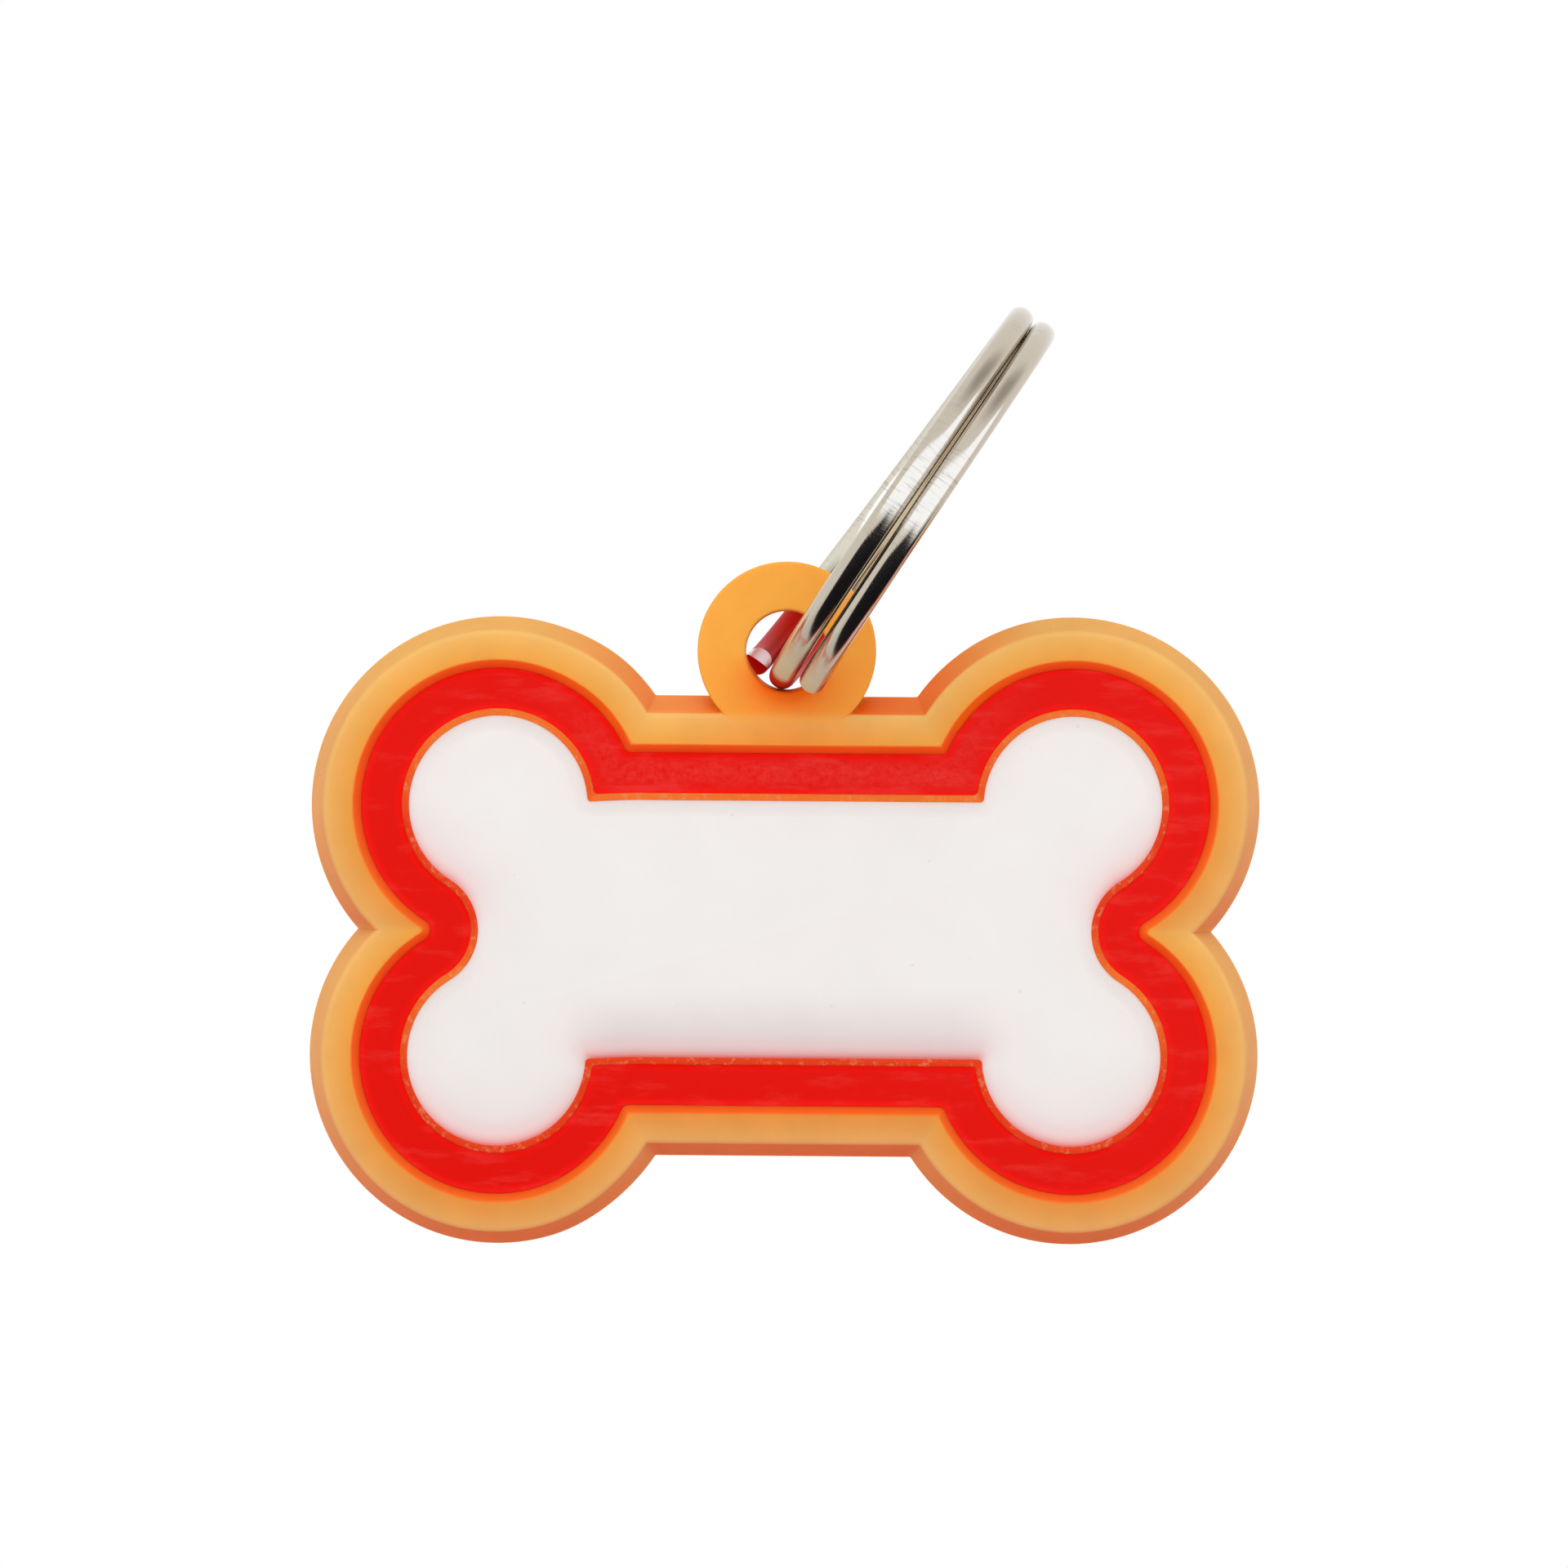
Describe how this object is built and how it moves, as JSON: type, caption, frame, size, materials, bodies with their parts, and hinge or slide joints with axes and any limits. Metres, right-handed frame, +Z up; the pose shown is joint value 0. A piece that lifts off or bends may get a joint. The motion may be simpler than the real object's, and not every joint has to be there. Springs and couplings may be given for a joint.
{
  "type": "pet identity tag",
  "caption": "Bone-shaped pet identity tag of soft plastic with a raised rim, coloured band, blank pale panel and round eyelet, hanging on a sprung split ring.",
  "frame": {"origin": "the point inside the far end of the split ring, midway between its turns, where a collar's loop bears", "axes": "+Z up the tag, +X to the right of its face, +Y through the tag from its face to its flat back"},
  "size_m": [0.0535, 0.0254, 0.0528],
  "materials": {
    "orange_pvc": "satin",
    "red_pvc": "satin",
    "white_pvc": "matt",
    "nickel_steel": "polished"
  },
  "bodies": {
    "ring": {"split_ring": "nickel_steel"},
    "tag": {"tag_body": "orange_pvc", "red_band": "red_pvc", "id_panel": "white_pvc"}
  },
  "joints": [
    {"name": "tag_swing", "type": "hinge", "parent": "ring", "child": "tag", "pos_m": [-0.01306, 0, -0.01762], "axis": [0, 1, 0], "range_deg": [-46, 119]}
  ]
}
